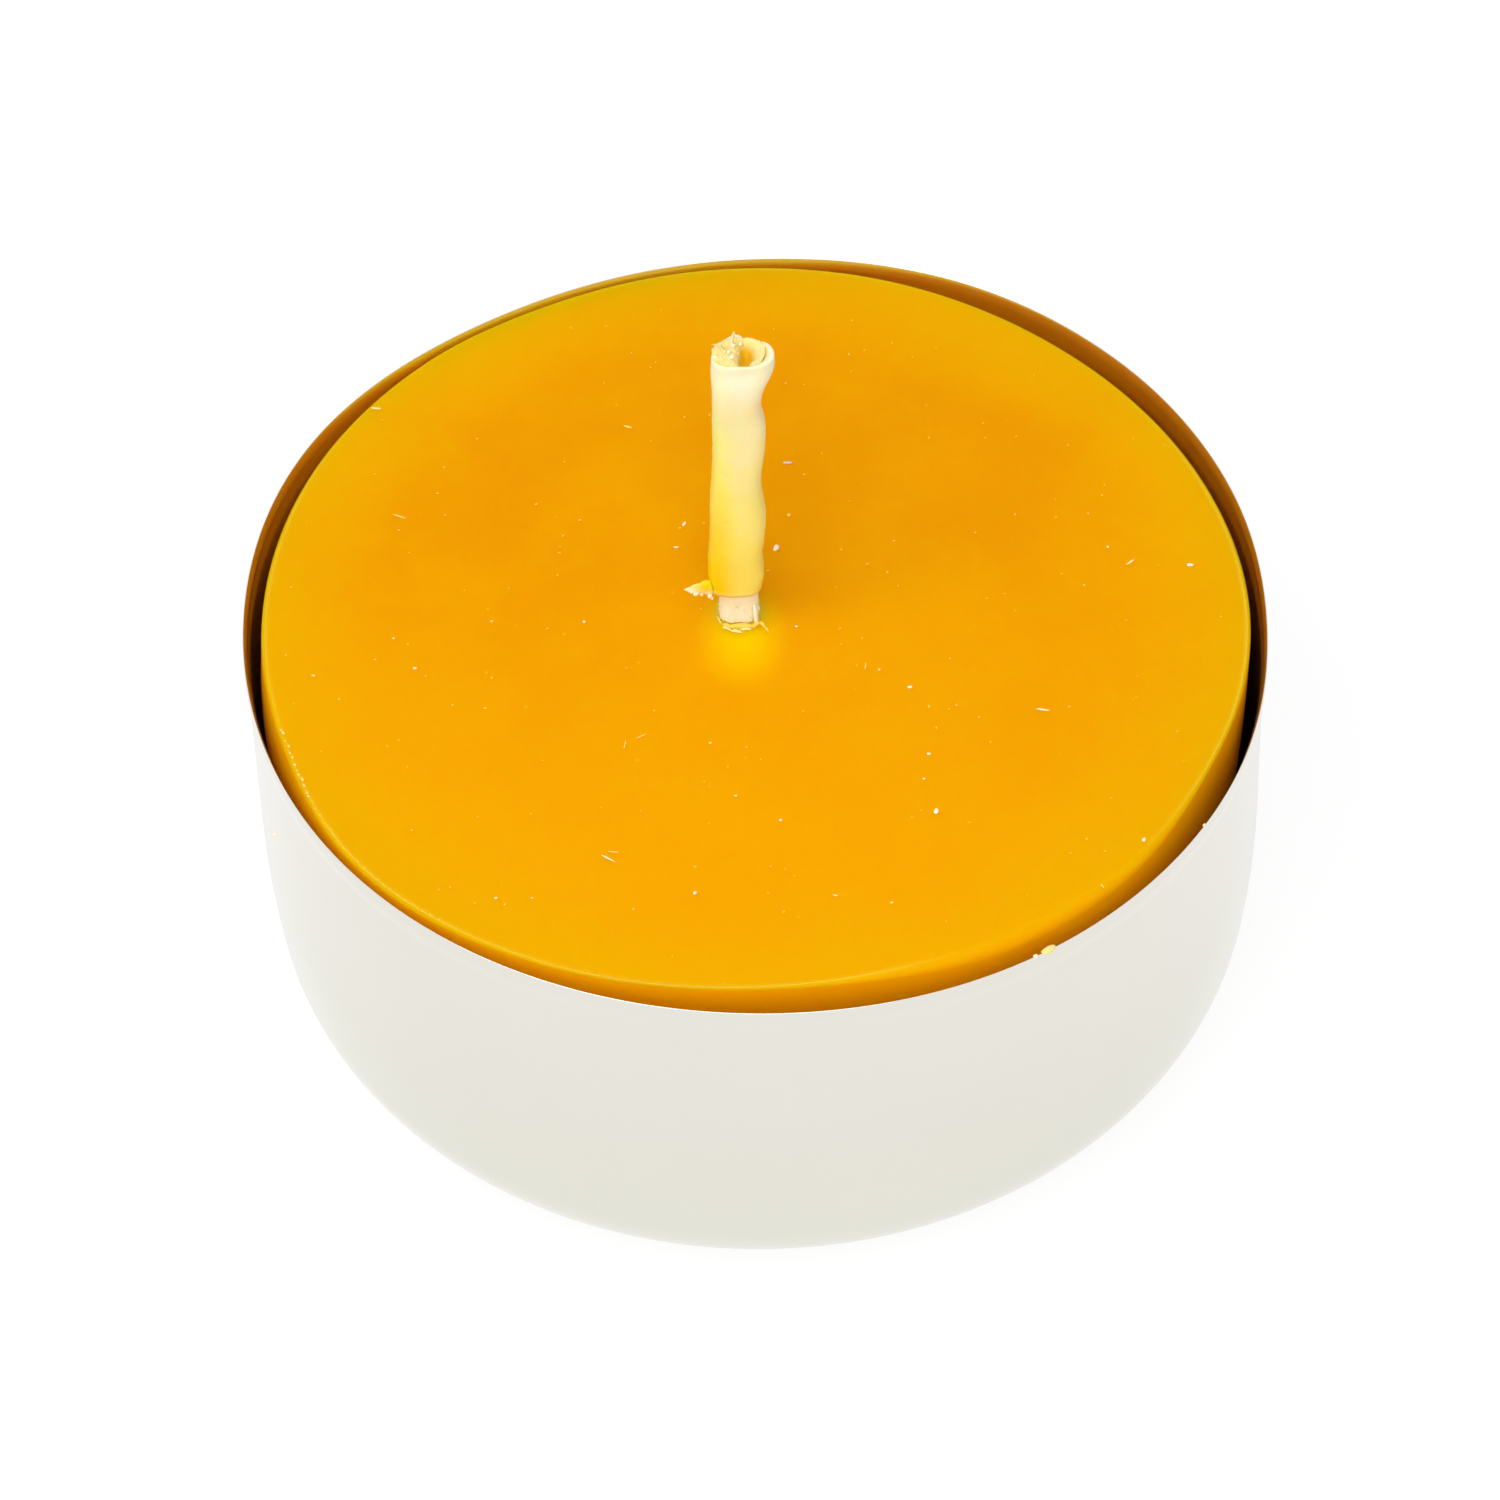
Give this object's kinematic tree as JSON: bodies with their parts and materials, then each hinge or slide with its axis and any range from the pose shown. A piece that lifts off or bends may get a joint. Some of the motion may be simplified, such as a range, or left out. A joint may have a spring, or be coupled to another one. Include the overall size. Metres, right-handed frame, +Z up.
{
  "type": "tea light candle",
  "caption": "Tea light: a round beeswax puck with a wax-dipped cotton wick, loose in a thin pressed aluminium cup, for use in a holder or lantern.",
  "frame": {"origin": "centre of the cup on the ground that it stands on", "axes": "+Z up along the cup's axis, from the base to the wick's tip; +Y from the pictured front to the back; +X to the right in the picture"},
  "size_m": [0.038, 0.038, 0.0302],
  "materials": {
    "cup_metal": "satin, lightly drawn sheet",
    "beeswax": "translucent golden beeswax, soft satin",
    "wick_cotton": "bare braided cotton",
    "coat_wax": "thin pale wax over cotton, soft satin",
    "sustainer_metal": "tinned steel"
  },
  "bodies": {
    "root": {"cup": "cup_metal", "wax_puck": "beeswax", "wick": "wick_cotton", "wick_wax_coat": "coat_wax", "wick_sustainer": "sustainer_metal"}
  },
  "joints": []
}
